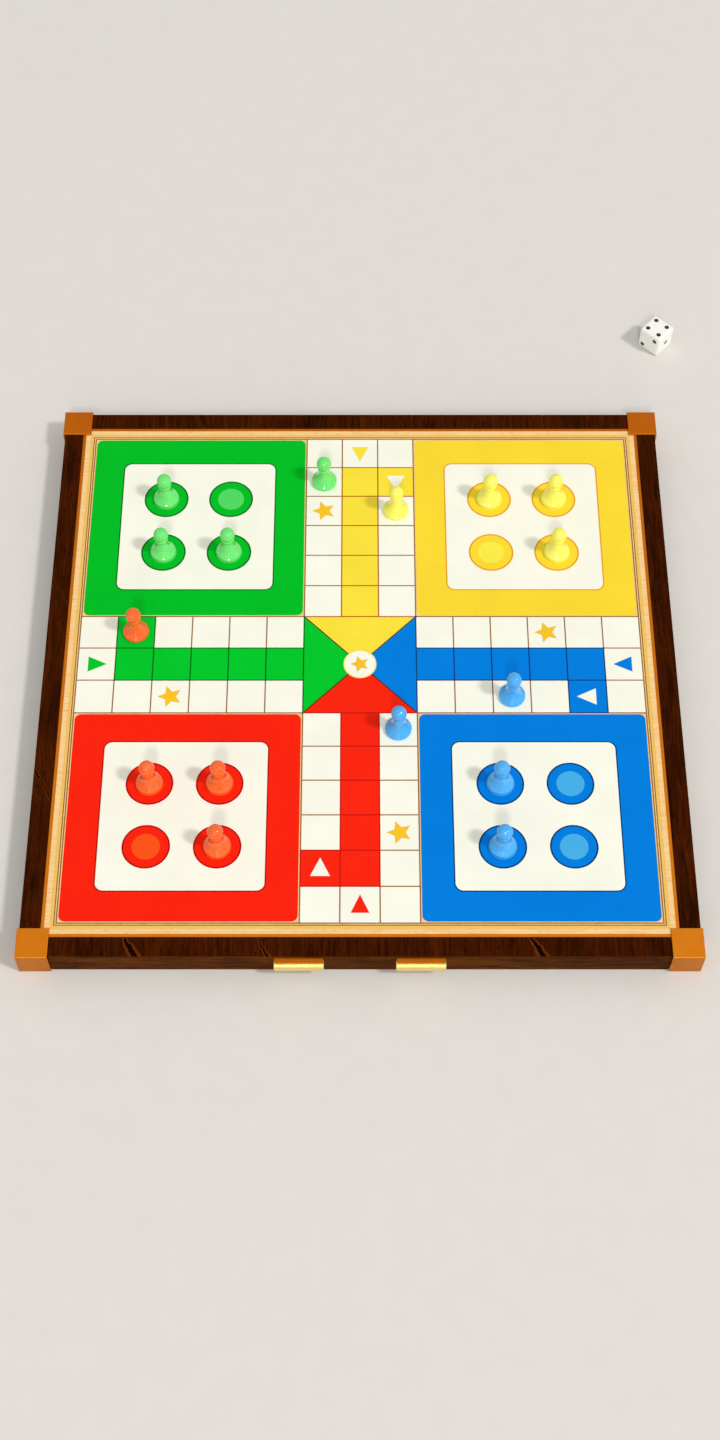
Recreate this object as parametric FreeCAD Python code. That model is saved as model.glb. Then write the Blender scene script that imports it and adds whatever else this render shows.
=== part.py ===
import FreeCAD, Part
import math
import os

from FreeCAD import Vector

# A framed ludo board: a shallow walnut case with brass corners, an inlaid playing field on top,
# one full-width drawer that slides out to the front, sixteen pawns and a die.
# The origin is on the table under the middle of the field. +X is right, +Y is away from the
# drawer, +Z is up. All sizes are in millimetres.

# Playing field
CELL = 22.0               # side of one track square, from line to line
LANE = 3                  # squares across one arm of the track
YARD = 6                  # squares along one side of a corner yard
LINE_W = 0.66             # dark line between two squares
INLAY_T = 0.8             # thickness of every inlay, flush with the top of the case
KERF = 0.05               # gap all round an inlay in its cut-out

# Borders from the field out to the walnut
EDGE_MARGIN = 0.6         # pale strip outside the field's own line
EDGE_STRING_W = 0.55      # dark string
INNER_STRING_W = 1.8      # bright brass string
BANDING_W = 3.1           # maple banding
OUTER_STRING_W = 1.8      # brass string beside the walnut

# Case
RAIL_W = 11.6             # walnut seen from above
CASE_H = 17.6             # table to the top of the walnut
FOOT_GAP = 0.4            # walnut clear of the table
LEDGE_W = 8.2             # ledge inside the rails that carries the board
BOARD_T = 3.2             # plywood under the inlays
BASE_T = 1.6              # plywood base
BAIZE_T = 0.8             # felt the case stands on
BAIZE_INSET = 1.0         # felt clear of the walnut
TOP_EDGE_R = 0.6          # rounding of the outer top edges
DOWEL_D = 4.0
DOWEL_L = 14.0
DOWEL_PITCH = 7.6         # the two dowels of one joint, one above the other
DOWEL_CLEAR = 0.1         # round a dowel and past its ends
BASE_SCREW_D = 2.5
BASE_SCREW_L = 9.0
BASE_SCREW_HEAD_D = 4.6
BASE_SCREW_HEAD_H = 1.1
BASE_SCREW_PITCH = 120.0
SCREW_CLEAR = 0.1         # round a screw and past its tip

# Brass corner caps
CAP_SIZE = 17.6           # side of the cap, seen from above
CAP_T = 1.1               # sheet thickness
CAP_EDGE_R = 0.5

# Corner yards
YARD_GAP = 0.9            # from the field's line to the coloured plate
PLATE_R = 3.7             # corner radius of the plate
INSET_SIDE = 93.2         # cream square in the plate
INSET_R = 4.6
INSET_LINE_W = 0.7        # dark outline of the cream square
SPOT_PITCH = 39.6         # from one pawn spot to the next
SPOT_D = 27.0             # pawn spot with its outline
SPOT_LINE_W = 0.9
SPOT_CENTRE_D = 16.0      # pale disc that a pawn stands on

# Signs on the track
ENTRY_W = 10.4            # arrow on the square in front of a home column
ENTRY_L = 11.0
ENTRY_BACK = 4.9          # arrow's base behind the middle of its square
START_W = 11.2            # arrow on a start square
START_L = 11.4
START_BACK = 4.8
STAR_R = 7.3
STAR_INNER_R = 3.3
MEDALLION_D = 19.4        # round badge in the middle of the field
MEDALLION_RING_W = 0.7
MEDALLION_STAR_R = 5.6
MEDALLION_STAR_INNER_R = 2.6

# Drawer
FRONT_END_GAP = 0.4       # drawer front to each corner cap
SHUT_GAP = 0.2            # drawer front to the board and base behind it
SIDE_RUN = 0.5            # drawer side to the ledge
TOP_RUN = 0.5             # drawer side to the underside of the board
TRAY_SIDE_T = 6.0
TRAY_BACK_T = 6.0
TRAY_DEPTH = 186.0        # inside, from front to back
TRAY_TAIL = 56.0          # sides past the back, which stay in the case when the drawer is out
TRAY_FLOOR_T = 1.4
FLOOR_RAISE = 0.4         # drawer floor clear of the base
FLOOR_GROOVE = 2.0        # floor let into front and sides
SIDE_REBATE = 4.0         # sides let into the front
LINER_T = 0.6
LINER_GAP = 0.3
DIVIDER_T = 3.0
DIVIDER_PITCH = 106.0     # from one divider to the other
STOP_H = 1.6              # strip under the board that catches the back of the drawer
STOP_W = 6.0
STOP_L = 120.0
STOP_INSET = 2.0          # strip behind the front edge of the board
STOP_RUN = 0.4            # divider under the strip, and drawer back under the board

# Drawer pulls
PULL_R = 4.4
PULL_STANDOFF = 1.1       # axis of the bar in front of the drawer front
PULL_L = 27.0
PULL_PITCH = 66.0
PULL_DROP = 5.7           # axis of the bar below the top of the case
PULL_EDGE = 0.4
PULL_SCREW_D = 2.5
PULL_SCREW_HEAD_D = 4.4
PULL_SCREW_HEAD_H = 1.6
PULL_SCREW_PITCH = 15.0
PULL_SCREW_SINK = 0.4     # head below the back of the drawer front
PULL_SCREW_BITE = 3.6     # thread inside the bar

# Pawns
PAWN_H = 22.6
PAWN_BASE_D = 15.2
PAWN_RIM_H = 2.15
PAWN_RIM_R = 0.9          # rounding between rim and body
PAWN_FOOT_R = 0.5
PAWN_BODY_BOW = 1.7       # body draws in from a straight taper
PAWN_NECK_D = 5.8
PAWN_COLLAR_D = 7.8
PAWN_COLLAR_T = 1.45
PAWN_HEAD_D = 8.8
PAWN_THROAT_D = 5.8       # where the head meets the collar

# Die
DIE_SIDE = 16.0
DIE_EDGE_R = 1.8
PIP_D = 2.9
PIP_T = 0.5
PIP_PITCH = 4.3
DIE_OUT_X = 8.6           # middle of the die past the right side of the case
DIE_OUT_Y = 72.8          # middle of the die past the back of the case
DIE_YAW = -42.5

# Places worked out from the sizes above
field_cells = 2 * YARD + LANE
middle_cell = (field_cells - 1) / 2
field_half = field_cells * CELL / 2
lane_half = LANE * CELL / 2
line_half = field_half + LINE_W / 2
margin_half = line_half + EDGE_MARGIN
edge_string_half = margin_half + EDGE_STRING_W
inner_string_half = edge_string_half + INNER_STRING_W
banding_half = inner_string_half + BANDING_W
board_half = banding_half + OUTER_STRING_W
case_half = board_half + RAIL_W
bay_half = board_half - LEDGE_W
cap_out = case_half + CAP_T
cap_in = cap_out - CAP_SIZE

z_top = CASE_H
z_inlay = z_top - INLAY_T
z_board = z_inlay - BOARD_T
z_base = BAIZE_T
z_bay = z_base + BASE_T

Z_AXIS = Vector(0, 0, 1)
ORIGIN = Vector(0, 0, 0)
ARM_COLOURS = ("yellow", "blue", "red", "green")   # clockwise from the back


def box(x0, x1, y0, y1, z0, z1):
    return Part.makeBox(x1 - x0, y1 - y0, z1 - z0, Vector(x0, y0, z0))


def cylinder(radius, start, axis, length):
    return Part.makeCylinder(radius, length, start, axis)


def inlay(points):
    """Flat inlay with straight sides."""
    corners = [Vector(x, y, z_inlay) for x, y in points]
    return Part.Face(Part.makePolygon(corners + corners[:1])).extrude(Vector(0, 0, INLAY_T))


def inlay_square(x, y, side):
    half = side / 2
    return box(x - half, x + half, y - half, y + half, z_inlay, z_top)


def inlay_disc(x, y, diameter):
    return cylinder(diameter / 2, Vector(x, y, z_inlay), Z_AXIS, INLAY_T)


def inlay_rounded(x, y, side, radius):
    """Square inlay with rounded corners."""
    block = inlay_square(x, y, side)
    uprights = [e for e in block.Edges if abs(e.tangentAt(e.FirstParameter).z) > 0.5]
    return block.makeFillet(radius, uprights)


def inlay_star(x, y, outer_r, inner_r):
    """Five-pointed star with one point to the left."""
    points = []
    for step in range(10):
        radius = inner_r if step % 2 else outer_r
        angle = math.pi + step * math.pi / 5
        points.append((x + radius * math.cos(angle), y + radius * math.sin(angle)))
    return inlay(points)


def inlay_arrow(x, y, width, length, back):
    """Triangle that points to the front."""
    base_y = y + back
    return inlay([(x - width / 2, base_y), (x + width / 2, base_y), (x, base_y - length)])


def mitred_strips(inner_half, outer_half):
    """Four inlaid strips round the field, mitred at the corners."""
    out = outer_half - KERF / 2
    inn = inner_half + KERF / 2
    gap = KERF / 2
    strip = inlay([(-out + gap, out), (out - gap, out), (inn - gap, inn), (-inn + gap, inn)])
    return [turned(strip, arm) for arm in range(4)]


def turned(shape, arm):
    """Copy of a back-arm shape, turned clockwise to another arm."""
    copy = shape.copy()
    copy.rotate(ORIGIN, Z_AXIS, -90 * arm)
    return copy


def cell_xy(column, row):
    """Middle of a square: columns count from the left, rows from the back."""
    return (column - middle_cell) * CELL, (middle_cell - row) * CELL


def turned_cell(column, row, arm):
    for _ in range(arm):
        column, row = field_cells - 1 - row, column
    return column, row


def mirrored(shape, across_x=False, across_y=False):
    if across_x:
        shape = shape.mirror(ORIGIN, Vector(1, 0, 0))
    if across_y:
        shape = shape.mirror(ORIGIN, Vector(0, 1, 0))
    return shape


def round_edges(shape, radius, wanted):
    """Round the edges whose middle point satisfies the test."""
    edges = [e for e in shape.Edges if wanted(e.CenterOfMass)]
    return shape.makeFillet(radius, edges)


def near(a, b):
    return abs(a - b) < 1e-6


def save(node, solids):
    if not isinstance(solids, list):
        solids = [solids]
    shape = solids[0] if len(solids) == 1 else Part.makeCompound(solids)
    shape.exportStep("parts/" + node + ".step")


os.makedirs("parts", exist_ok=True)

# Dowels: two across each corner joint, hidden in the walnut
joint_mid = board_half + RAIL_W / 2
dowel_mid_z = (FOOT_GAP + z_top) / 2


def dowel(grow):
    """Dowel of the right front joint, or its hole when grown by the clearance."""
    length = DOWEL_L + 2 * grow
    start = Vector(joint_mid, -board_half - length / 2, dowel_mid_z - DOWEL_PITCH / 2)
    low = cylinder(DOWEL_D / 2 + grow, start, Vector(0, 1, 0), length)
    high = low.translated(Vector(0, 0, DOWEL_PITCH))
    return [low, high]


def all_dowels(grow):
    front = dowel(grow)
    front += [mirrored(d, across_x=True) for d in dowel(grow)]
    back = []
    for peg in dowel(grow):
        peg.rotate(ORIGIN, Z_AXIS, 90)
        back += [peg, mirrored(peg, across_x=True)]
    return front + back


save("frame_dowels", all_dowels(0))
dowel_holes = all_dowels(DOWEL_CLEAR)


# Base screws: up through the base into the ledges
def base_screw(x, y, grow):
    head_r = BASE_SCREW_HEAD_D / 2 + grow
    shank_r = BASE_SCREW_D / 2 + grow
    head = Part.makeCone(head_r, shank_r, BASE_SCREW_HEAD_H, Vector(x, y, z_base))
    shank = cylinder(shank_r, Vector(x, y, z_base), Z_AXIS, BASE_SCREW_L + grow)
    return head.fuse(shank)


ledge_mid = board_half - LEDGE_W / 2
screw_places = [(side * ledge_mid, step * BASE_SCREW_PITCH) for side in (-1, 1) for step in (-1, 0, 1)]
screw_places += [(side * BASE_SCREW_PITCH / 2, ledge_mid) for side in (-1, 1)]
save("base_screws", [base_screw(x, y, 0) for x, y in screw_places])
screw_holes = [base_screw(x, y, SCREW_CLEAR) for x, y in screw_places]

# Rails: the side rails run through to the back and the back rail stands between them
side_rail = box(board_half, case_half, -board_half, case_half, FOOT_GAP, z_top)
side_rail = round_edges(side_rail, TOP_EDGE_R, lambda c: near(c.x, case_half) and near(c.z, z_top))
side_ledge = box(bay_half, board_half, -board_half, board_half, z_bay, z_board)
right_rail = side_rail.fuse(side_ledge).removeSplitter()
left_rail = mirrored(right_rail, across_x=True)
back_rail = box(-board_half, board_half, board_half, case_half, FOOT_GAP, z_top)
back_rail = round_edges(back_rail, TOP_EDGE_R, lambda c: near(c.y, case_half) and near(c.z, z_top))
back_ledge = box(-bay_half, bay_half, bay_half, board_half, z_bay, z_board)
back_rail = back_rail.fuse(back_ledge).removeSplitter()
for node, rail in (("right_rail", right_rail), ("left_rail", left_rail), ("back_rail", back_rail)):
    save(node, rail.cut(dowel_holes + screw_holes))

# Front posts: they close the front ends of the side rails, behind the front caps
right_post = box(cap_in, case_half, -case_half, -board_half, FOOT_GAP, z_top).cut(dowel_holes)
save("front_posts", [right_post, mirrored(right_post, across_x=True)])

# Base and felt
base = box(-board_half, board_half, -board_half, board_half, z_base, z_bay)
save("base_panel", base.cut(screw_holes))
baize_half = board_half - BAIZE_INSET
save("base_baize", box(-baize_half, baize_half, -baize_half, baize_half, 0, BAIZE_T))

# Board: plywood on the ledges that carries every inlay
save("board_panel", box(-board_half, board_half, -board_half, board_half, z_board, z_inlay))

# Brass corner caps: one sheet folded over the top and the two outer sides of a corner
cap = box(cap_in, cap_out, cap_in, cap_out, FOOT_GAP, z_top + CAP_T)
cap = round_edges(
    cap,
    CAP_EDGE_R,
    lambda c: near(c.z, z_top + CAP_T) or (near(c.x, cap_out) and near(c.y, cap_out)),
)
cap = cap.cut(box(cap_in - CAP_T, case_half, cap_in - CAP_T, case_half, 0, z_top))
save("corner_caps", [turned(cap, arm) for arm in range(4)])

# Borders round the field
save("outer_brass_string", mitred_strips(banding_half, board_half))
save("maple_banding", mitred_strips(inner_string_half, banding_half))
save("inner_brass_string", mitred_strips(edge_string_half, inner_string_half))

# Corner yards: the back right one is modelled and turned to the other three
yard_mid = lane_half + YARD * CELL / 2
yard_opening_side = YARD * CELL - LINE_W
plate_side = YARD * CELL - 2 * YARD_GAP
spot_ring_d = SPOT_D - 2 * SPOT_LINE_W
inset_hole_side = INSET_SIDE + 2 * INSET_LINE_W
spot_shift = SPOT_PITCH / 2
spots = [(yard_mid + sx * spot_shift, yard_mid + sy * spot_shift) for sx in (-1, 1) for sy in (-1, 1)]

plate = inlay_rounded(yard_mid, yard_mid, plate_side - 2 * KERF, PLATE_R - KERF)
plate = plate.cut(inlay_rounded(yard_mid, yard_mid, inset_hole_side, INSET_R + INSET_LINE_W))
rings = [inlay_disc(x, y, spot_ring_d - 2 * KERF).cut(inlay_disc(x, y, SPOT_CENTRE_D)) for x, y in spots]
centres = [inlay_disc(x, y, SPOT_CENTRE_D - 2 * KERF) for x, y in spots]
for arm, colour in enumerate(ARM_COLOURS):
    save(colour + "_yard_plate", [turned(piece, arm) for piece in [plate] + rings])
    save(colour + "_spot_centres", [turned(piece, arm) for piece in centres])

inset = inlay_rounded(yard_mid, yard_mid, INSET_SIDE - 2 * KERF, INSET_R - KERF)
inset = inset.cut([inlay_disc(x, y, SPOT_D) for x, y in spots])
save("yard_insets", [turned(inset, arm) for arm in range(4)])

outline = inlay_rounded(yard_mid, yard_mid, inset_hole_side - 2 * KERF, INSET_R + INSET_LINE_W - KERF)
outline = outline.cut(inlay_rounded(yard_mid, yard_mid, INSET_SIDE, INSET_R))
spot_lines = [inlay_disc(x, y, SPOT_D - 2 * KERF).cut(inlay_disc(x, y, spot_ring_d)) for x, y in spots]
save("yard_outlines", [turned(piece, arm) for arm in range(4) for piece in [outline] + spot_lines])

yard_ground = inlay_square(yard_mid, yard_mid, yard_opening_side - 2 * KERF)
yard_ground = yard_ground.cut(inlay_rounded(yard_mid, yard_mid, plate_side, PLATE_R))
ground = [turned(yard_ground, arm) for arm in range(4)] + mitred_strips(line_half, margin_half)
save("maple_ground", ground)

# Track: the back arm is modelled and turned to the other three
tile_side = CELL - LINE_W
home_column = YARD + LANE // 2
start_column = home_column + 1
star_column = home_column - 1
entry_row = 0
start_row = 1
star_row = 2

arm_cells = [(YARD + column, row) for column in range(LANE) for row in range(YARD)]
home_cells = [(home_column, row) for row in range(1, YARD)]
start_cell = (start_column, start_row)
entry_cell = (home_column, entry_row)
star_cell = (star_column, star_row)
cream_cells = [c for c in arm_cells if c not in home_cells and c != start_cell]

entry_hole = inlay_arrow(*cell_xy(*entry_cell), ENTRY_W, ENTRY_L, ENTRY_BACK)
entry_arrow = inlay_arrow(*cell_xy(*entry_cell), ENTRY_W - 4 * KERF, ENTRY_L - 4 * KERF, ENTRY_BACK - KERF)
start_hole = inlay_arrow(*cell_xy(*start_cell), START_W, START_L, START_BACK)
start_arrow = inlay_arrow(*cell_xy(*start_cell), START_W - 4 * KERF, START_L - 4 * KERF, START_BACK - KERF)
star_places = [cell_xy(*turned_cell(*star_cell, arm)) for arm in range(4)]
star_holes = [inlay_star(x, y, STAR_R + 2 * KERF, STAR_INNER_R + 2 * KERF) for x, y in star_places]

# The four triangles of the middle meet the round badge
diagonal_gap = LINE_W / 2 * math.sqrt(2)
goal_y = lane_half - LINE_W / 2
goal_hole = inlay([(-goal_y + diagonal_gap, goal_y), (goal_y - diagonal_gap, goal_y), (0, diagonal_gap)])
goal_in = goal_y - KERF
goal_tip = diagonal_gap + KERF * math.sqrt(2)
goal = inlay([(-goal_in + goal_tip, goal_in), (goal_in - goal_tip, goal_in), (0, goal_tip)])
medallion_hole = inlay_disc(0, 0, MEDALLION_D)
goal = goal.cut(medallion_hole)


def tile(column, row):
    return inlay_square(*cell_xy(column, row), tile_side - 2 * KERF)


cream_tiles = []
lane_holes = [medallion_hole]
for arm, colour in enumerate(ARM_COLOURS):
    path = [tile(*c) for c in home_cells] + [tile(*start_cell).cut(start_hole), goal, entry_arrow]
    save(colour + "_path_tiles", [turned(piece, arm) for piece in path])
    cream_tiles += [turned(tile(*c), arm).cut([turned(entry_hole, arm)] + star_holes) for c in cream_cells]
    lane_holes += [turned(inlay_square(*cell_xy(*c), tile_side), arm) for c in arm_cells]
    lane_holes.append(turned(goal_hole, arm))
    lane_holes.append(turned(inlay_square(yard_mid, yard_mid, yard_opening_side), arm))
save("cream_track_tiles", cream_tiles)

lines = box(-line_half + KERF, line_half - KERF, -line_half + KERF, line_half - KERF, z_inlay, z_top)
save("track_lines", [lines.cut(lane_holes)] + mitred_strips(margin_half, edge_string_half))

# Badge and stars
disc_d = MEDALLION_D - 2 * MEDALLION_RING_W
badge_star_hole = inlay_star(0, 0, MEDALLION_STAR_R + 2 * KERF, MEDALLION_STAR_INNER_R + 2 * KERF)
badge = inlay_disc(0, 0, disc_d - 2 * KERF).cut(badge_star_hole)
save("cream_signs", [badge] + [turned(start_arrow, arm) for arm in range(4)])
ring = inlay_disc(0, 0, MEDALLION_D - 2 * KERF).cut(inlay_disc(0, 0, disc_d))
gold = [ring, inlay_star(0, 0, MEDALLION_STAR_R, MEDALLION_STAR_INNER_R)]
gold += [inlay_star(x, y, STAR_R, STAR_INNER_R) for x, y in star_places]
save("gold_signs", gold)

# Drawer: the front is the whole walnut edge between the two front caps
front_half = cap_in - FRONT_END_GAP
front_y = -case_half
front_back_y = -board_half - SHUT_GAP
side_out = bay_half - SIDE_RUN
side_in = side_out - TRAY_SIDE_T
side_top = z_board - TOP_RUN
tray_back_y = front_back_y + TRAY_DEPTH
tray_end_y = tray_back_y + TRAY_BACK_T
floor_z = z_bay + FLOOR_RAISE
floor_top = floor_z + TRAY_FLOOR_T
liner_top = floor_top + LINER_T

floor_half = side_in + FLOOR_GROOVE
tray_floor = box(-floor_half, floor_half, front_back_y - FLOOR_GROOVE, tray_end_y, floor_z, floor_top)
tray_side = box(side_in, side_out, front_back_y - SIDE_REBATE, tray_end_y + TRAY_TAIL, z_bay, side_top)
tray_sides = [tray_side, mirrored(tray_side, across_x=True)]
save("drawer_sides", [side.cut(tray_floor) for side in tray_sides])
save("drawer_floor", tray_floor)
save("drawer_back", box(-side_in, side_in, tray_back_y, tray_end_y, floor_top, z_board - STOP_RUN))
liner_half = side_in - LINER_GAP
liner = box(
    -liner_half,
    liner_half,
    front_back_y + LINER_GAP,
    tray_back_y - LINER_GAP,
    floor_top,
    liner_top,
)
save("drawer_liner", liner)
divider_top = z_board - STOP_H - STOP_RUN
divider = box(-DIVIDER_T / 2, DIVIDER_T / 2, front_back_y, tray_back_y, liner_top, divider_top)
save("drawer_dividers", [divider.translated(Vector(s * DIVIDER_PITCH / 2, 0, 0)) for s in (-1, 1)])

# Stop strip: glued under the board, it meets the back of the drawer at the end of its travel
stop_y = -board_half + STOP_INSET
save("drawer_stop", box(-STOP_L / 2, STOP_L / 2, stop_y, stop_y + STOP_W, z_board - STOP_H, z_board))
print("drawer travel", round(tray_back_y - stop_y - STOP_W, 3))

# Pulls: round brass bars with a flat back, screwed on from inside the drawer front
pull_y = front_y - PULL_STANDOFF
pull_z = z_top - PULL_DROP
head_y = front_back_y - PULL_SCREW_SINK
shank_end_y = front_y - PULL_SCREW_BITE


def pull_screw(x, grow):
    head_start = Vector(x, head_y - PULL_SCREW_HEAD_H - grow, pull_z)
    head = cylinder(PULL_SCREW_HEAD_D / 2 + grow, head_start, Vector(0, 1, 0), PULL_SCREW_HEAD_H + grow)
    if grow:
        head = head.fuse(cylinder(PULL_SCREW_HEAD_D / 2 + grow, head_start, Vector(0, 1, 0), RAIL_W))
    shank_start = Vector(x, shank_end_y - grow, pull_z)
    shank_length = head_y - PULL_SCREW_HEAD_H - shank_end_y + 2 * grow
    shank = cylinder(PULL_SCREW_D / 2 + grow, shank_start, Vector(0, 1, 0), shank_length)
    return head.fuse(shank)


pull_places = [side * PULL_PITCH / 2 for side in (-1, 1)]
pull_screw_places = [x + side * PULL_SCREW_PITCH / 2 for x in pull_places for side in (-1, 1)]
pull_screws = [pull_screw(x, 0) for x in pull_screw_places]
pull_holes = [pull_screw(x, SCREW_CLEAR) for x in pull_screw_places]
bar = cylinder(PULL_R, Vector(-PULL_L / 2, pull_y, pull_z), Vector(1, 0, 0), PULL_L)
bar = bar.makeChamfer(PULL_EDGE, [e for e in bar.Edges if isinstance(e.Curve, Part.Circle)])
bar = bar.cut(box(-PULL_L, PULL_L, front_y, front_y + 2 * PULL_R, 0, pull_z + 2 * PULL_R))
save("drawer_pulls", [bar.translated(Vector(x, 0, 0)).cut(pull_holes) for x in pull_places])
save("pull_screws", pull_screws)

drawer_front = box(-front_half, front_half, front_y, front_back_y, FOOT_GAP, z_top)
drawer_front = round_edges(drawer_front, TOP_EDGE_R, lambda c: near(c.y, front_y) and near(c.z, z_top))
save("drawer_front", drawer_front.cut(tray_sides + [tray_floor] + pull_holes))


# Pawns: turned in one piece, each with its own place on the field
def pawn():
    base_r = PAWN_BASE_D / 2
    neck_r = PAWN_NECK_D / 2
    throat_r = PAWN_THROAT_D / 2
    head_r = PAWN_HEAD_D / 2
    head_z = PAWN_H - head_r
    throat_z = head_z - math.sqrt(head_r ** 2 - throat_r ** 2)
    neck_z = throat_z - PAWN_COLLAR_T
    foot_mid = PAWN_FOOT_R * (1 - math.sqrt(0.5))

    def at(radius, height):
        return Vector(radius, 0, height)

    def arc(a, b, c):
        return Part.Arc(at(*a), at(*b), at(*c)).toShape()

    def line(a, b):
        return Part.makeLine(at(*a), at(*b))

    body_foot = (base_r, PAWN_RIM_H)
    body_top = (neck_r, neck_z)
    run, rise = body_foot[0] - body_top[0], body_top[1] - body_foot[1]
    draw_in = PAWN_BODY_BOW / math.hypot(run, rise)
    body_middle = ((base_r + neck_r) / 2 - draw_in * rise, (PAWN_RIM_H + neck_z) / 2 - draw_in * run)

    edges = [
        line((0, 0), (base_r - PAWN_FOOT_R, 0)),
        arc((base_r - PAWN_FOOT_R, 0), (base_r - foot_mid, foot_mid), (base_r, PAWN_FOOT_R)),
        line((base_r, PAWN_FOOT_R), body_foot),
        arc(body_foot, body_middle, body_top),
        arc(body_top, (PAWN_COLLAR_D / 2, neck_z + PAWN_COLLAR_T / 2), (throat_r, throat_z)),
        arc((throat_r, throat_z), (head_r, head_z), (0, PAWN_H)),
        line((0, PAWN_H), (0, 0)),
    ]
    turned = Part.Face(Part.Wire(edges)).revolve(ORIGIN, Z_AXIS, 360)
    return round_edges(turned, PAWN_RIM_R, lambda c: near(c.z, PAWN_RIM_H))


def spot_xy(arm, sx, sy):
    """Pawn spot of a yard: sx and sy are -1 or 1, left to right and front to back."""
    quadrant_x = 1 if arm in (0, 1) else -1
    quadrant_y = 1 if arm in (0, 3) else -1
    return quadrant_x * yard_mid + sx * spot_shift, quadrant_y * yard_mid + sy * spot_shift


YELLOW, BLUE, RED, GREEN = range(4)
pawn_places = {
    "yellow": [
        spot_xy(YELLOW, -1, 1),
        spot_xy(YELLOW, 1, 1),
        spot_xy(YELLOW, 1, -1),
        cell_xy(start_column, star_row),
    ],
    "blue": [
        spot_xy(BLUE, -1, 1),
        spot_xy(BLUE, -1, -1),
        cell_xy(start_column, YARD + LANE),
        cell_xy(YARD + LANE + 2, start_column),
    ],
    "red": [
        spot_xy(RED, -1, 1),
        spot_xy(RED, 1, 1),
        spot_xy(RED, 1, -1),
        cell_xy(start_row, star_column),
    ],
    "green": [
        spot_xy(GREEN, -1, 1),
        spot_xy(GREEN, -1, -1),
        spot_xy(GREEN, 1, -1),
        cell_xy(star_column, start_row),
    ],
}
for colour, places in pawn_places.items():
    for number, (x, y) in enumerate(places, 1):
        save("%s_pawn_%d" % (colour, number), pawn().translated(Vector(x, y, z_top)))

# Die: opposite faces add up to seven, and the pips are let in flush
PIPS = {
    1: [(0, 0)],
    2: [(-1, -1), (1, 1)],
    3: [(-1, -1), (0, 0), (1, 1)],
    4: [(-1, -1), (-1, 1), (1, -1), (1, 1)],
    5: [(-1, -1), (-1, 1), (0, 0), (1, -1), (1, 1)],
    6: [(-1, -1), (-1, 0), (-1, 1), (1, -1), (1, 0), (1, 1)],
}
DIE_FACES = {1: Vector(1, 0, 0), 2: Vector(0, -1, 0), 4: Vector(0, 0, 1)}
DIE_FACES.update({7 - value: normal.negative() for value, normal in list(DIE_FACES.items())})


def pips(grow):
    holes = []
    for value, normal in DIE_FACES.items():
        right = Vector(abs(normal.y) + abs(normal.z), abs(normal.x), 0)
        up = normal.cross(right)
        for a, b in PIPS[value]:
            floor = normal * (DIE_SIDE / 2 - PIP_T) + right * (a * PIP_PITCH) + up * (b * PIP_PITCH)
            holes.append(cylinder(PIP_D / 2 + grow, floor, normal, PIP_T))
    return holes


def rolled(shape):
    """Turn the die and set it on the table behind the case."""
    shape.rotate(ORIGIN, Z_AXIS, DIE_YAW)
    return shape.translated(Vector(case_half + DIE_OUT_X, case_half + DIE_OUT_Y, DIE_SIDE / 2))


die_half = DIE_SIDE / 2
die = box(-die_half, die_half, -die_half, die_half, -die_half, die_half)
die = die.makeFillet(DIE_EDGE_R, die.Edges).cut(pips(KERF))
save("die", rolled(die))
save("die_pips", [rolled(pip) for pip in pips(0)])
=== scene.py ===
import math

import bmesh
import bpy
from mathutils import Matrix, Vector
from mathutils import noise as field


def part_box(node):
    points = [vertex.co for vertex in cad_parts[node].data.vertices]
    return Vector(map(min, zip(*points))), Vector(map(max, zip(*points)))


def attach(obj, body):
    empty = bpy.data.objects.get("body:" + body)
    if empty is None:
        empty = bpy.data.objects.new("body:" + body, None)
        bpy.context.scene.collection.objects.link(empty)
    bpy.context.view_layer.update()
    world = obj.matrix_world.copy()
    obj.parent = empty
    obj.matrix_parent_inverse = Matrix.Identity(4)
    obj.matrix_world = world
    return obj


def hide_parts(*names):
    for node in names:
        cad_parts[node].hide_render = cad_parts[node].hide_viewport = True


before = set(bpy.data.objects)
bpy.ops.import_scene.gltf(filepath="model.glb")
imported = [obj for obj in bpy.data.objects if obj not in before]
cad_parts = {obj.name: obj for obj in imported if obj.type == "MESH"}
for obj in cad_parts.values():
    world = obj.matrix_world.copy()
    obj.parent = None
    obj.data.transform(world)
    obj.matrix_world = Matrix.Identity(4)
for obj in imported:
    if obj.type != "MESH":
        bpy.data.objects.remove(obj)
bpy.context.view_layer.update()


# Felt
# A sheet of green wool felt is glued under the plywood base, just inside the walnut, so that
# the case doesn't scratch a table. The floor of the drawer is lined with the same felt.
def screen(red, green, blue):
    """Colour written as screen values from 0 to 255, in the renderer's linear values."""
    parts = [part / 255 for part in (red, green, blue)]
    return [p / 12.92 if p <= 0.04045 else ((p + 0.055) / 1.055) ** 2.4 for p in parts] + [1]


def add(tree, kind, values=None, **settings):
    """Shader node with its settings made, and its sockets set or linked."""
    node = tree.nodes.new("ShaderNode" + kind)
    for name, value in settings.items():
        setattr(node, name, value)
    for socket, value in (values or {}).items():
        if isinstance(value, bpy.types.NodeSocket):
            tree.links.new(value, node.inputs[socket])
        else:
            node.inputs[socket].default_value = value
    return node


def mix(tree, share, a, b, blend="MIX"):
    node = add(tree, "Mix", {0: share, 6: a, 7: b}, data_type="RGBA", blend_type=blend)
    return node.outputs[2]


def noise(tree, place, scale, detail=2.0, distortion=0.0):
    values = {"Vector": place, "Scale": scale, "Detail": detail, "Distortion": distortion}
    return add(tree, "TexNoise", values).outputs[0]


def remap(tree, value, low, high, to_low=0.0, to_high=1.0):
    values = {0: value, 1: low, 2: high, 3: to_low, 4: to_high}
    return add(tree, "MapRange", values).outputs[0]


def object_place(tree):
    return add(tree, "TexCoord").outputs["Object"]


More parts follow.
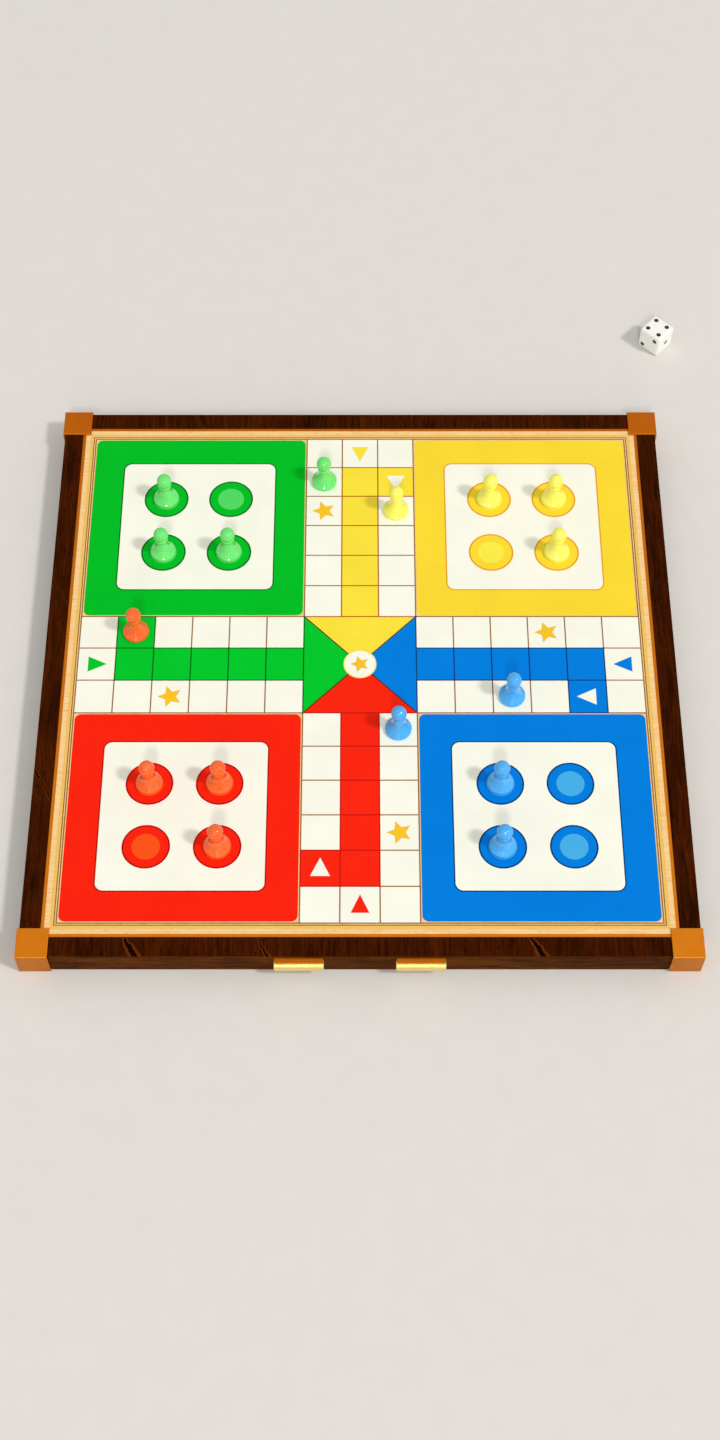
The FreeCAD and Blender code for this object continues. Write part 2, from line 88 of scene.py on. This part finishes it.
def finish(name, constants):
    """New material: its tree and its Principled BSDF, with the constant sockets set."""
    material = bpy.data.materials.new(name)
    material.use_nodes = True
    shader = material.node_tree.nodes["Principled BSDF"]
    for socket, value in constants.items():
        shader.inputs[socket].default_value = value
    return material, material.node_tree, shader


def apply(tree, shader, colour, roughness, relief=None, depth=0.0):
    """Link what changes over the surface to the shader; depth is the bump's height in metres."""
    tree.links.new(colour, shader.inputs["Base Color"])
    tree.links.new(roughness, shader.inputs["Roughness"])
    if relief:
        bump = add(tree, "Bump", {"Height": relief, "Distance": depth})
        tree.links.new(bump.outputs[0], shader.inputs["Normal"])


felt, tree, shader = finish("green felt", {"Specular IOR Level": 0.05, "Sheen Weight": 0.15})
place = object_place(tree)
shading = noise(tree, place, 45, 3)
clumps = noise(tree, place, 420, 4, 1.5)
fibres = noise(tree, place, 1900, 3, 2.5)
colour = mix(tree, remap(tree, clumps, 0.3, 0.7), screen(10, 66, 34), screen(34, 112, 62))
colour = mix(tree, remap(tree, shading, 0.3, 0.7, 0.0, 0.25), colour, screen(12, 74, 40))
colour = mix(tree, remap(tree, fibres, 0.62, 0.75, 0.0, 0.35), colour, screen(96, 160, 116))
apply(tree, shader, colour, remap(tree, fibres, 0.2, 0.8, 0.85, 1.0), fibres, 0.0004)

FELT_EDGE = 0.0003        # rounding of a cut edge
FELT_NAP = 0.0001         # unevenness of the open face
FELT_WAVES = 90           # rises of the nap along a metre
FELT_STEP = 0.006         # between two rows of points


def stations(start, end):
    """Places along one side of a sheet, close together where its edge rounds off."""
    count = round((end - start) / FELT_STEP)
    flat = end - start - 2 * FELT_EDGE
    inner = [start + FELT_EDGE + flat * step / count for step in range(count + 1)]
    return [start, start + FELT_EDGE / 4] + inner + [end - FELT_EDGE / 4, end]


def felt_sheet(name, node, body, open_face):
    """Sheet in place of its solid. Its open face is 1 on top or -1 below; the other is glued."""
    low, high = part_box(node)
    xs, ys = stations(low[0], high[0]), stations(low[1], high[1])
    open_z, glued_z = (high[2], low[2]) if open_face > 0 else (low[2], high[2])
    mesh = bmesh.new()
    rows = []
    for x in xs:
        row = []
        for y in ys:
            inward = min(x - low[0], high[0] - x, y - low[1], high[1] - y, FELT_EDGE)
            fall = FELT_EDGE - math.sqrt(FELT_EDGE ** 2 - (FELT_EDGE - inward) ** 2)
            nap = FELT_NAP * (0.5 + 0.5 * field.noise(Vector((x, y, 0)) * FELT_WAVES))
            lifted = mesh.verts.new((x, y, open_z - open_face * max(fall, nap)))
            row.append((lifted, mesh.verts.new((x, y, glued_z))))
        rows.append(row)
    for a, b in zip(rows, rows[1:]):
        for near, far, beyond, beside in zip(a, b, b[1:], a[1:]):
            for side in (0, 1):
                mesh.faces.new([corner[side] for corner in (near, far, beyond, beside)])
    for border in (rows[0], rows[-1], [row[0] for row in rows], [row[-1] for row in rows]):
        for one, other in zip(border, border[1:]):
            mesh.faces.new((one[0], other[0], other[1], one[1]))
    bmesh.ops.recalc_face_normals(mesh, faces=mesh.faces)
    for face in mesh.faces:
        face.smooth = True
    data = bpy.data.meshes.new(name)
    mesh.to_mesh(data)
    mesh.free()
    data.materials.append(felt)
    sheet = bpy.data.objects.new(name, data)
    bpy.context.scene.collection.objects.link(sheet)
    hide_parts(node)
    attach(sheet, body)


felt_sheet("base_felt", "base_baize", "case", -1)
felt_sheet("drawer_felt", "drawer_liner", "drawer", 1)


# Plywood
# The base, the board under the inlays and the floor of the drawer are thin birch plywood, sanded
# and left raw. The cut edges show their plies.
def calc(tree, operation, a, b=0.0):
    return add(tree, "Math", {0: a, 1: b}, operation=operation).outputs[0]


def vector(tree, operation, a, b=(0, 0, 0)):
    return add(tree, "VectorMath", {0: a, 1: b}, operation=operation).outputs[0]


def axes(tree, place):
    return add(tree, "SeparateXYZ", {0: place}).outputs


def effect(name, inputs, outputs):
    """Empty node group with named sockets: the tree, its input sockets and its output node."""
    group = bpy.data.node_groups.new(name, "ShaderNodeTree")
    for side, sockets in (("INPUT", inputs), ("OUTPUT", outputs)):
        for socket, kind in sockets.items():
            group.interface.new_socket(socket, in_out=side, socket_type="NodeSocket" + kind)
    given = group.nodes.new("NodeGroupInput").outputs
    return group, given, group.nodes.new("NodeGroupOutput").inputs


def put_out(group, targets, **results):
    for name, result in results.items():
        group.links.new(result, targets[name])


def stretched(tree, place, along, across):
    return vector(tree, "MULTIPLY", place, (along, across, across))


def use(tree, group, **values):
    return add(tree, "Group", values, node_tree=group).outputs


def dress(material, *nodes):
    for node in nodes:
        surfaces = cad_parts[node].data.materials
        surfaces.clear()
        surfaces.append(material)


# Timber: its place runs along X with the grain, in metres
timber, given, results = effect(
    "timber",
    {
        "Place": "Vector", "Pale": "Color", "Dark": "Color", "Pore": "Color",
        "Pores": "Float", "Figure": "Float",
    },
    {"Colour": "Color", "Relief": "Float"},
)
drift = add(timber, "TexNoise", {"Vector": given["Place"], "Scale": 26.0, "Detail": 2.0}).outputs[1]
bend = {0: drift, 1: (0.012, 0.007, 0.007), 2: given["Place"]}
grain = add(timber, "VectorMath", bend, operation="MULTIPLY_ADD").outputs[0]
clouds = noise(timber, stretched(timber, grain, 28, 75), 1.0, 4)
streaks = noise(timber, stretched(timber, grain, 24, 620), 1.0, 4)
fibre = noise(timber, stretched(timber, grain, 130, 2800), 1.0, 2)
pores = remap(timber, noise(timber, stretched(timber, grain, 190, 2100), 1.0, 1), 0.60, 0.70)
tone = calc(timber, "MULTIPLY", calc(timber, "SUBTRACT", clouds, 0.5), given["Figure"])
tone = calc(timber, "ADD", tone, calc(timber, "SUBTRACT", streaks, 0.5))
wood = mix(timber, remap(timber, tone, -0.26, 0.26), given["Dark"], given["Pale"])
wood = mix(timber, remap(timber, fibre, 0.25, 0.75, 0.22, 0.0), wood, given["Dark"])
pitted = calc(timber, "MULTIPLY", pores, given["Pores"])
wood = mix(timber, pitted, wood, given["Pore"])
put_out(timber, results, Colour=wood, Relief=calc(timber, "SUBTRACT", fibre, pitted))

plywood, tree, shader = finish("raw birch plywood", {"Specular IOR Level": 0.2})
place = object_place(tree)
face = use(
    tree, timber, Place=place, Pale=screen(228, 197, 152), Dark=screen(196, 156, 106),
    Pore=screen(150, 108, 66), Pores=0.35, Figure=0.8,
)
PLY = 0.0008              # thickness of one ply
plies = calc(tree, "PINGPONG", axes(tree, place)[2], PLY)
upright = axes(tree, add(tree, "NewGeometry").outputs["Normal"])[2]
cut_edge = calc(tree, "LESS_THAN", calc(tree, "ABSOLUTE", upright), 0.5)
glue_line = calc(tree, "MULTIPLY", calc(tree, "GREATER_THAN", plies, PLY / 2), cut_edge)
colour = mix(tree, calc(tree, "MULTIPLY", glue_line, 0.55), face["Colour"], screen(150, 108, 66))
roughness = remap(tree, face["Relief"], -0.5, 0.8, 0.8, 0.55)
apply(tree, shader, colour, roughness, face["Relief"], 0.0001)
dress(plywood, "base_panel", "board_panel", "drawer_floor")

# Screws
# Plain plated steel countersunk screws hold the base to the ledges, and cheese-head screws hold
# the two bars to the drawer front. Both are turned, so fine rings run round them.
steel, tree, shader = finish("plated steel", {"Metallic": 1.0})
place = object_place(tree)
turning = noise(tree, place, 1800, 3)
smears = noise(tree, place, 240, 3)
colour = mix(tree, smears, screen(150, 150, 146), screen(206, 206, 202))
apply(tree, shader, colour, remap(tree, turning, 0.3, 0.7, 0.22, 0.42), turning, 0.00003)
dress(steel, "base_screws", "pull_screws")

# Walnut rails, posts and drawer front
# Oiled black walnut. The top is veneered with the grain from front to back all round, across the
# front and back rails, and the outer faces show it lengthwise. Handling has rubbed the edges.
rubbed_edge, given, results = effect("rubbed edge", {"Reach": "Float"}, {"Edge": "Float"})
rounded = add(rubbed_edge, "Bevel", {"Radius": given["Reach"]}, samples=4).outputs[0]
flat = add(rubbed_edge, "NewGeometry").outputs["True Normal"]
compared = add(rubbed_edge, "VectorMath", {0: rounded, 1: flat}, operation="DOT_PRODUCT")
put_out(rubbed_edge, results, Edge=remap(rubbed_edge, compared.outputs["Value"], 0.99, 0.80))

# Flame: a dark heart slanting across the rail between two rust-coloured rims
FLAME_SLANT = 0.55        # sideways for each step towards the back
FLAME_WOBBLE = 0.0008
flame, given, results = effect(
    "flame figure",
    {"Place": "Vector", "Middle": "Vector", "Width": "Float"},
    {"Heart": "Float", "Rim": "Float"},
)
x, y, z = axes(flame, vector(flame, "SUBTRACT", given["Place"], given["Middle"]))
wobble = noise(flame, given["Place"], 170, 2)
wobble = remap(flame, wobble, 0.3, 0.7, -FLAME_WOBBLE, FLAME_WOBBLE)
across = calc(flame, "ADD", x, calc(flame, "MULTIPLY", y, FLAME_SLANT))
across = calc(flame, "ADD", across, wobble)
across = calc(flame, "DIVIDE", calc(flame, "ABSOLUTE", across), given["Width"])
across = calc(flame, "DIVIDE", across, remap(flame, y, 0.008, -0.006, 0.25, 1.0))
rim = calc(flame, "MULTIPLY", remap(flame, across, 0.8, 1.1), remap(flame, across, 2.3, 1.5))
put_out(flame, results, Heart=remap(flame, across, 1.1, 0.7), Rim=rim)

walnut, tree, shader = finish("oiled walnut", {"Specular IOR Level": 0.012})
place = object_place(tree)
x, y, z = axes(tree, place)
facing = axes(tree, add(tree, "NewGeometry").outputs["True Normal"])


def swapped(tree, a, b, c):
    return add(tree, "CombineXYZ", {0: a, 1: b, 2: c}).outputs[0]


def choose(tree, share, a, b):
    return add(tree, "Mix", {0: share, 4: a, 5: b}, data_type="VECTOR").outputs[1]


looks_front = calc(tree, "GREATER_THAN", calc(tree, "ABSOLUTE", facing[1]), 0.7)
looks_side = calc(tree, "GREATER_THAN", calc(tree, "ABSOLUTE", facing[0]), 0.7)
outward = calc(tree, "MAXIMUM", looks_front, looks_side)
along_grain = choose(tree, looks_front, swapped(tree, y, x, z), swapped(tree, x, z, y))
along_grain = choose(tree, looks_side, along_grain, swapped(tree, y, z, x))
# Painted light: the outer faces are painted lighter and more orange than the top of the same wood.
pale = mix(tree, outward, screen(82, 31, 3), screen(110, 56, 4))
dark = mix(tree, outward, screen(34, 10, 0), screen(42, 16, 0))
wood = use(
    tree, timber, Place=along_grain, Pale=pale, Dark=dark,
    Pore=screen(14, 5, 1), Pores=0.75, Figure=0.6,
)
colour = wood["Colour"]
flames = (
    ((-0.124, -0.1796, 0), 0.0021),
    ((-0.0506, -0.1825, 0), 0.0012),
    ((0.096, -0.1796, 0), 0.0021),
)
on_top = calc(tree, "SUBTRACT", 1.0, outward)
for middle, width in flames:
    figure = use(tree, flame, Place=place, Middle=middle, Width=width)
    colour = mix(tree, calc(tree, "MULTIPLY", figure["Rim"], on_top), colour, screen(104, 44, 8))
    colour = mix(tree, calc(tree, "MULTIPLY", figure["Heart"], on_top), colour, screen(20, 5, 0))
WALNUT_EDGE = 0.0009      # how far an edge is rubbed
edge = use(tree, rubbed_edge, Reach=WALNUT_EDGE)["Edge"]
colour = mix(tree, calc(tree, "MULTIPLY", edge, 0.2), colour, screen(120, 66, 26))
roughness = remap(tree, wood["Relief"], -0.6, 0.8, 0.62, 0.40)
apply(tree, shader, colour, roughness, wood["Relief"], 0.00012)
dress(walnut, "left_rail", "right_rail", "back_rail", "front_posts", "drawer_front")

# Beech pieces
# Steamed beech, planed and waxed: the dowels of the corner joints, the sides, back and dividers
# of the drawer, and the strip under the board that stops it.
beech, tree, shader = finish("waxed beech", {"Specular IOR Level": 0.3})
x, y, z = axes(tree, object_place(tree))
wood = use(
    tree, timber, Place=swapped(tree, y, x, z), Pale=screen(222, 176, 128),
    Dark=screen(190, 138, 92), Pore=screen(140, 92, 56), Pores=0.6, Figure=0.5,
)
BEECH_EDGE = 0.0006
edge = use(tree, rubbed_edge, Reach=BEECH_EDGE)["Edge"]
colour = mix(tree, calc(tree, "MULTIPLY", edge, 0.3), wood["Colour"], screen(236, 200, 158))
roughness = remap(tree, wood["Relief"], -0.6, 0.8, 0.6, 0.42)
apply(tree, shader, colour, roughness, wood["Relief"], 0.0001)
dress(beech, "frame_dowels", "drawer_sides", "drawer_back", "drawer_dividers", "drawer_stop")

# Maple
# Pale lacquered maple makes the wide banding round the field, and the ground that shows at the
# rounded corners of the coloured plates. Its grain runs from left to right all round.
maple, tree, shader = finish("lacquered maple", {"Specular IOR Level": 0.2})
wood = use(
    tree, timber, Place=object_place(tree), Pale=screen(255, 222, 160),
    Dark=screen(246, 194, 124), Pore=screen(196, 134, 76), Pores=0.4, Figure=0.35,
)
roughness = remap(tree, wood["Relief"], -0.6, 0.8, 0.5, 0.36)
apply(tree, shader, wood["Colour"], roughness, wood["Relief"], 0.00005)
dress(maple, "maple_banding", "maple_ground")

# Brass
# Drawn brass strip is let in as the two strings beside the maple, the outer one deep in colour and
# the inner one pale. The corner caps are of the same brass as the outer string. On both, the sides
# are painted darker than the tops, and the brass is painted darker towards the back of the case:
# painted shade.
brass_skin, given, results = effect(
    "brass skin",
    {
        "Place": "Vector", "Clean": "Color", "Dull": "Color",
        "Edge": "Float", "Matt": "Float", "Film": "Float",
    },
    {"Colour": "Color", "Roughness": "Float", "Metal": "Float", "Relief": "Float"},
)
stains = noise(brass_skin, given["Place"], 75, 5, 0.6)
brushing = noise(brass_skin, stretched(brass_skin, given["Place"], 160, 3000), 1.0, 3)
worn = calc(brass_skin, "MAXIMUM", remap(brass_skin, stains, 0.25, 0.75), given["Edge"])
skin = mix(brass_skin, worn, given["Dull"], given["Clean"])
skin = mix(brass_skin, remap(brass_skin, brushing, 0.35, 0.65, 0.25, 0.0), skin, given["Dull"])
matt = calc(brass_skin, "ADD", given["Matt"], remap(brass_skin, brushing, 0.3, 0.7, -0.08, 0.08))
matt = calc(brass_skin, "SUBTRACT", matt, calc(brass_skin, "MULTIPLY", given["Edge"], 0.1))
film = calc(brass_skin, "MULTIPLY", given["Film"], remap(brass_skin, worn, 0, 1, 1.0, 0.8))
metal = calc(brass_skin, "SUBTRACT", 1.0, film)
put_out(brass_skin, results, Colour=skin, Roughness=matt, Metal=metal, Relief=brushing)


BRASS_EDGE = 0.0007


def plate(tree, shader, clean, dull, matt, film):
    """Brass under a dull film of oxide, from none at 0 to all hidden at 1."""
    edge = use(tree, rubbed_edge, Reach=BRASS_EDGE)["Edge"]
    skin = use(
        tree, brass_skin, Place=object_place(tree), Clean=clean, Dull=dull,
        Edge=edge, Matt=matt, Film=film,
    )
    apply(tree, shader, skin["Colour"], skin["Roughness"], skin["Relief"], 0.00002)
    tree.links.new(skin["Metal"], shader.inputs["Metallic"])


CASE_HALF = 0.18          # middle of the case to its front or back
PAINTED_BACK_SHADE = screen(225, 209, 188)
satin_brass, tree, shader = finish("satin brass", {"Specular IOR Level": 0.08})
# Painted shade: faces that don't look up get a darker orange than the tops.
upward = axes(tree, add(tree, "NewGeometry").outputs["Normal"])[2]
level = remap(tree, upward, 0.3, 0.8)
clean = mix(tree, level, screen(212, 130, 10), screen(255, 152, 34))
dull = mix(tree, level, screen(190, 109, 4), screen(250, 138, 24))
# Painted shade: the brass is painted darker and browner towards the back of the case.
backward = remap(tree, axes(tree, object_place(tree))[1], -CASE_HALF, CASE_HALF)
clean = mix(tree, backward, clean, PAINTED_BACK_SHADE, "MULTIPLY")
dull = mix(tree, backward, dull, PAINTED_BACK_SHADE, "MULTIPLY")
plate(tree, shader, clean, dull, 0.42, 0.24)
bright_brass, tree, shader = finish("bright brass", {"Specular IOR Level": 0.08})
plate(tree, shader, screen(255, 212, 112), screen(255, 202, 98), 0.4, 0.8)
dress(satin_brass, "outer_brass_string", "corner_caps")
dress(bright_brass, "inner_brass_string")

# Dark lines
# Thin dyed veneer on edge parts the squares and runs round the field as a double string. Beside
# a coloured square it takes a deep shade of that colour, as the dye of the square bleeds into it.
CELL = 0.022              # side of one track square
LINE_REACH = 0.03         # half a line past the edge of a square, in squares
FIELD_HALF = 7.52         # middle of the field to outside its own line, in squares
GOAL_HALF = 1.5           # middle of the field to the edge of the goal, in squares
ARMS = ("yellow", "blue", "red", "green")
line_shades = {
    "yellow": screen(190, 92, 2),
    "blue": screen(4, 56, 116),
    "red": screen(206, 6, 2),
    "green": screen(0, 102, 16),
}

patch, given, results = effect(
    "patch", {"Place": "Vector", "Middle": "Vector", "Reach": "Vector"}, {"Mask": "Float"}
)
offset = vector(patch, "ABSOLUTE", vector(patch, "SUBTRACT", given["Place"], given["Middle"]))
room = axes(patch, vector(patch, "SUBTRACT", given["Reach"], offset))
least = calc(patch, "MINIMUM", room[0], room[1])
put_out(patch, results, Mask=calc(patch, "GREATER_THAN", least, 0.0))

veneer_line, tree, shader = finish("dyed veneer line", {"Specular IOR Level": 0.15})
place = object_place(tree)
squares = vector(tree, "MULTIPLY", place, (1 / CELL, 1 / CELL, 1 / CELL))
fibre = noise(tree, place, 1500, 3)
field_shade = mix(tree, fibre, screen(140, 88, 34), screen(170, 114, 54))
border_shade = mix(tree, fibre, screen(112, 66, 30), screen(170, 112, 60))
goal_shade = mix(tree, fibre, screen(52, 30, 6), screen(84, 50, 12))
whole_field = (FIELD_HALF, FIELD_HALF, 0)
in_field = use(tree, patch, Place=squares, Middle=(0, 0, 0), Reach=whole_field)["Mask"]
shade = mix(tree, in_field, border_shade, field_shade)
home_column = ((0, 4), (0.5, 2.5))
start_square = ((1, 6), (0.5, 0.5))
goal_side = ((0, GOAL_HALF), (GOAL_HALF, 0))
for arm, colour_name in enumerate(ARMS):
    for (across, out), (half_across, half_out) in (home_column, start_square, goal_side):
        for _ in range(arm):
            across, out = out, -across
            half_across, half_out = half_out, half_across
        reach = (half_across + LINE_REACH, half_out + LINE_REACH, 0)
        beside = use(tree, patch, Place=squares, Middle=(across, out, 0), Reach=reach)["Mask"]
        shade = mix(tree, beside, shade, line_shades[colour_name])
inside_goal = (GOAL_HALF - LINE_REACH, GOAL_HALF - LINE_REACH, 0)
between_goals = use(tree, patch, Place=squares, Middle=(0, 0, 0), Reach=inside_goal)["Mask"]
shade = mix(tree, between_goals, shade, goal_shade)
apply(tree, shader, shade, remap(tree, fibre, 0.3, 0.7, 0.45, 0.6), fibre, 0.00002)
dress(veneer_line, "track_lines")

# Inlaid squares, plates and signs
# Thin sheets of satin acrylic, cut to shape and let in flush with the top. The colour goes right
# through, and a faint cloudiness and a soft orange peel from polishing show up close.
acrylic, given, results = effect(
    "satin acrylic", {"Place": "Vector", "Colour": "Color"},
    {"Colour": "Color", "Roughness": "Float", "Relief": "Float"},
)
cloud = noise(acrylic, given["Place"], 38, 4)
grit = noise(acrylic, given["Place"], 2600, 2)
deep = mix(acrylic, 1.0, given["Colour"], screen(248, 248, 248), "MULTIPLY")
tint = mix(acrylic, remap(acrylic, cloud, 0.3, 0.7), deep, given["Colour"])
tint = mix(acrylic, remap(acrylic, grit, 0.3, 0.7, 0.25, 0.0), tint, deep)
peel = noise(acrylic, given["Place"], 420, 2)
roughness = remap(acrylic, cloud, 0.3, 0.7, 0.40, 0.32)
put_out(acrylic, results, Colour=tint, Roughness=roughness, Relief=peel)


SATIN = {"Specular IOR Level": 0.04}


def lay(tree, shader, place, colour):
    sheet = use(tree, acrylic, Place=place, Colour=colour)
    apply(tree, shader, sheet["Colour"], sheet["Roughness"], sheet["Relief"], 0.00003)


def acrylic_finish(name, colour):
    material, tree, shader = finish(name, SATIN)
    lay(tree, shader, object_place(tree), colour)
    return material


plate_colours = {
    "yellow": screen(255, 222, 54),
    "blue": screen(0, 128, 228),
    "red": screen(255, 36, 14),
    "green": screen(0, 194, 38),
}
tile_colours = {
    "yellow": screen(255, 230, 63),
    "blue": screen(0, 129, 229),
    "red": screen(255, 38, 15),
    "green": screen(0, 204, 44),
}
spot_colours = {
    "yellow": screen(255, 240, 76),
    "blue": screen(72, 178, 236),
    "red": screen(255, 86, 24),
    "green": screen(84, 222, 102),
}
for colour_name in ARMS:
    plate_acrylic = acrylic_finish(colour_name + " plate acrylic", plate_colours[colour_name])
    tile_acrylic = acrylic_finish(colour_name + " tile acrylic", tile_colours[colour_name])
    spot_acrylic = acrylic_finish(colour_name + " spot acrylic", spot_colours[colour_name])
    dress(plate_acrylic, colour_name + "_yard_plate")
    dress(tile_acrylic, colour_name + "_path_tiles")
    dress(spot_acrylic, colour_name + "_spot_centres")
cream_acrylic = acrylic_finish("cream acrylic", screen(254, 254, 238))
dress(cream_acrylic, "cream_track_tiles", "yard_insets", "cream_signs")

# The ring round the middle badge is a lighter gold than the stars
RING_INSIDE = 0.0085      # from the middle of the field
RING_OUTSIDE = 0.0101
gold, tree, shader = finish("gold acrylic", SATIN)
place = object_place(tree)
x, y, z = axes(tree, place)
squared = calc(tree, "ADD", calc(tree, "MULTIPLY", x, x), calc(tree, "MULTIPLY", y, y))
radius = calc(tree, "POWER", squared, 0.5)
ring = calc(tree, "GREATER_THAN", radius, RING_INSIDE)
ring = calc(tree, "MULTIPLY", ring, calc(tree, "LESS_THAN", radius, RING_OUTSIDE))
lay(tree, shader, place, mix(tree, ring, screen(253, 200, 40), screen(255, 240, 128)))
dress(gold, "gold_signs")

# Outlines in the yards
# A thin line of deep-dyed acrylic rings every pawn spot and the cream square of a yard, in a
# darker shade of that yard's colour.
outline_shades = {
    "yellow": screen(244, 160, 22),
    "blue": screen(0, 58, 122),
    "red": screen(190, 2, 4),
    "green": screen(0, 104, 16),
}
outline, tree, shader = finish("yard outline acrylic", SATIN)
place = object_place(tree)
x, y, z = axes(tree, place)
right = calc(tree, "GREATER_THAN", x, 0.0)
back = calc(tree, "GREATER_THAN", y, 0.0)
front_pair = mix(tree, right, outline_shades["red"], outline_shades["blue"])
back_pair = mix(tree, right, outline_shades["green"], outline_shades["yellow"])
lay(tree, shader, place, mix(tree, back, front_pair, back_pair))
dress(outline, "yard_outlines")

# Drawer pulls
# Two round brass bars with a flat back, screwed to the drawer front from inside. Their tops are
# painted a dull dark brass as painted shade, and their front and underside a pale yellow brass
# under a clear coat as a painted highlight.
POLISHED = {"Specular IOR Level": 0.08, "Coat Roughness": 0.12}
pull_brass, tree, shader = finish("pull brass", POLISHED)
upward = axes(tree, add(tree, "NewGeometry").outputs["Normal"])[2]
# Painted shade and highlight: upward faces are painted dark, the rest painted pale and coated.
painted_top_shade = remap(tree, upward, 0.72, 0.84)
clean = mix(tree, painted_top_shade, screen(255, 234, 148), screen(202, 112, 22))
dull = mix(tree, painted_top_shade, screen(255, 222, 122), screen(190, 100, 18))
plate(tree, shader, clean, dull, 0.3, calc(tree, "MULTIPLY", painted_top_shade, 0.6))
tree.links.new(calc(tree, "SUBTRACT", 1.0, painted_top_shade), shader.inputs["Coat Weight"])
dress(pull_brass, "drawer_pulls")

# Pawns
# Sixteen pawns of glossy cast resin, four in each colour: a rounded rim, a body that draws in to
# the neck, a collar and a ball. Faint swirls of the casting show in the gloss.
cast_gloss, given, results = effect(
    "cast gloss", {"Place": "Vector", "Colour": "Color"}, {"Colour": "Color", "Roughness": "Float"}
)
swirl = noise(cast_gloss, given["Place"], 130, 3, 2.2)
paler = mix(cast_gloss, 0.05, given["Colour"], screen(255, 255, 255))
tint = mix(cast_gloss, remap(cast_gloss, swirl, 0.35, 0.7), given["Colour"], paler)
haze = noise(cast_gloss, given["Place"], 900, 2)
roughness = remap(cast_gloss, haze, 0.3, 0.7, 0.09, 0.14)
put_out(cast_gloss, results, Colour=tint, Roughness=roughness)

pawn_colours = {
    "yellow": screen(255, 250, 97),
    "blue": screen(65, 175, 246),
    "red": screen(255, 99, 0),
    "green": screen(104, 232, 111),
}
GLOSS = {"Specular IOR Level": 0.45, "Coat Weight": 0.15, "Coat Roughness": 0.04}


def resin_finish(name, colour):
    material, tree, shader = finish(name, GLOSS)
    cast = use(tree, cast_gloss, Place=object_place(tree), Colour=colour)
    apply(tree, shader, cast["Colour"], cast["Roughness"])
    return material


for colour_name in ARMS:
    resin = resin_finish(colour_name + " resin", pawn_colours[colour_name])
    for number in (1, 2, 3, 4):
        dress(resin, "%s_pawn_%d" % (colour_name, number))

# Die
# A white die with rounded edges, cast in the same glossy resin as the pawns. Its pips are
# black discs let in flush.
dress(resin_finish("die white", screen(250, 250, 244)), "die")
dress(resin_finish("die black", screen(22, 20, 20)), "die_pips")

# Table, light and camera
# A plain pale table top under a soft sky, with one softbox from the right, a weaker one and a low
# strip from the front. The camera looks down on the board from the side of the drawer.
FLOOR_RADIUS = 12.0
FLOOR_DROP = 0.0001       # below the felt, so that the two faces don't flicker
bpy.ops.mesh.primitive_circle_add(
    vertices=128, radius=FLOOR_RADIUS, fill_type="NGON", location=(0, 0, -FLOOR_DROP)
)
floor = bpy.context.object
floor.name = "table_top"
table, tree, shader = finish("pale table", {"Specular IOR Level": 0.1, "Roughness": 0.7})
speck = noise(tree, object_place(tree), 60, 4)
colour = mix(tree, speck, screen(222, 219, 214), screen(228, 225, 220))
tree.links.new(colour, shader.inputs["Base Color"])
floor.data.materials.append(table)

SKY_LOW = 0.6             # strength at the horizon
SKY_HIGH = 0.47           # strength overhead
SKY_COLOUR = (1.0, 0.99, 0.975, 1)
world = bpy.data.worlds.new("studio")
bpy.context.scene.world = world
world.use_nodes = True
tree = world.node_tree
sky = tree.nodes["Background"]
sky.inputs["Color"].default_value = SKY_COLOUR
height = axes(tree, add(tree, "TexCoord").outputs["Generated"])[2]
tree.links.new(remap(tree, height, 0, 1, SKY_LOW, SKY_HIGH), sky.inputs["Strength"])


LAMP_DISTANCE = 15.0
LAMP_COLOUR = (1.0, 0.985, 0.96)


def softbox(name, towards, width, height, share):
    """Lamp that lights a level surface at the middle to a share of full white."""
    direction = Vector(towards).normalized()
    data = bpy.data.lights.new(name, "AREA")
    data.shape = "RECTANGLE"
    data.size = width
    data.size_y = height
    data.energy = share * (math.pi * LAMP_DISTANCE) ** 2 / direction.z
    data.color = LAMP_COLOUR
    lamp = bpy.data.objects.new(name, data)
    lamp.location = direction * LAMP_DISTANCE
    lamp.rotation_euler = direction.to_track_quat("Z", "Y").to_euler()
    lamp.visible_camera = False
    bpy.context.scene.collection.objects.link(lamp)


softbox("key", (0.58, -0.27, 0.77), 1.7, 1.7, 0.325)
softbox("brow", (-0.01, -0.70, 0.71), 1.7, 1.7, 0.15)
softbox("strip", (0, -0.93, 0.37), 2.1, 8.4, 0.022)

EYE = Vector((0, -0.60562, 1.00278))
AIM = Vector((0, -0.03777, 0.0176))
LENS = 49.455
camera_data = bpy.data.cameras.new("camera")
camera_data.lens = LENS
camera = bpy.data.objects.new("camera", camera_data)
camera.location = EYE
camera.rotation_euler = (AIM - EYE).to_track_quat("-Z", "Y").to_euler()
bpy.context.scene.collection.objects.link(camera)
bpy.context.scene.camera = camera
bpy.context.scene.view_settings.view_transform = "Standard"
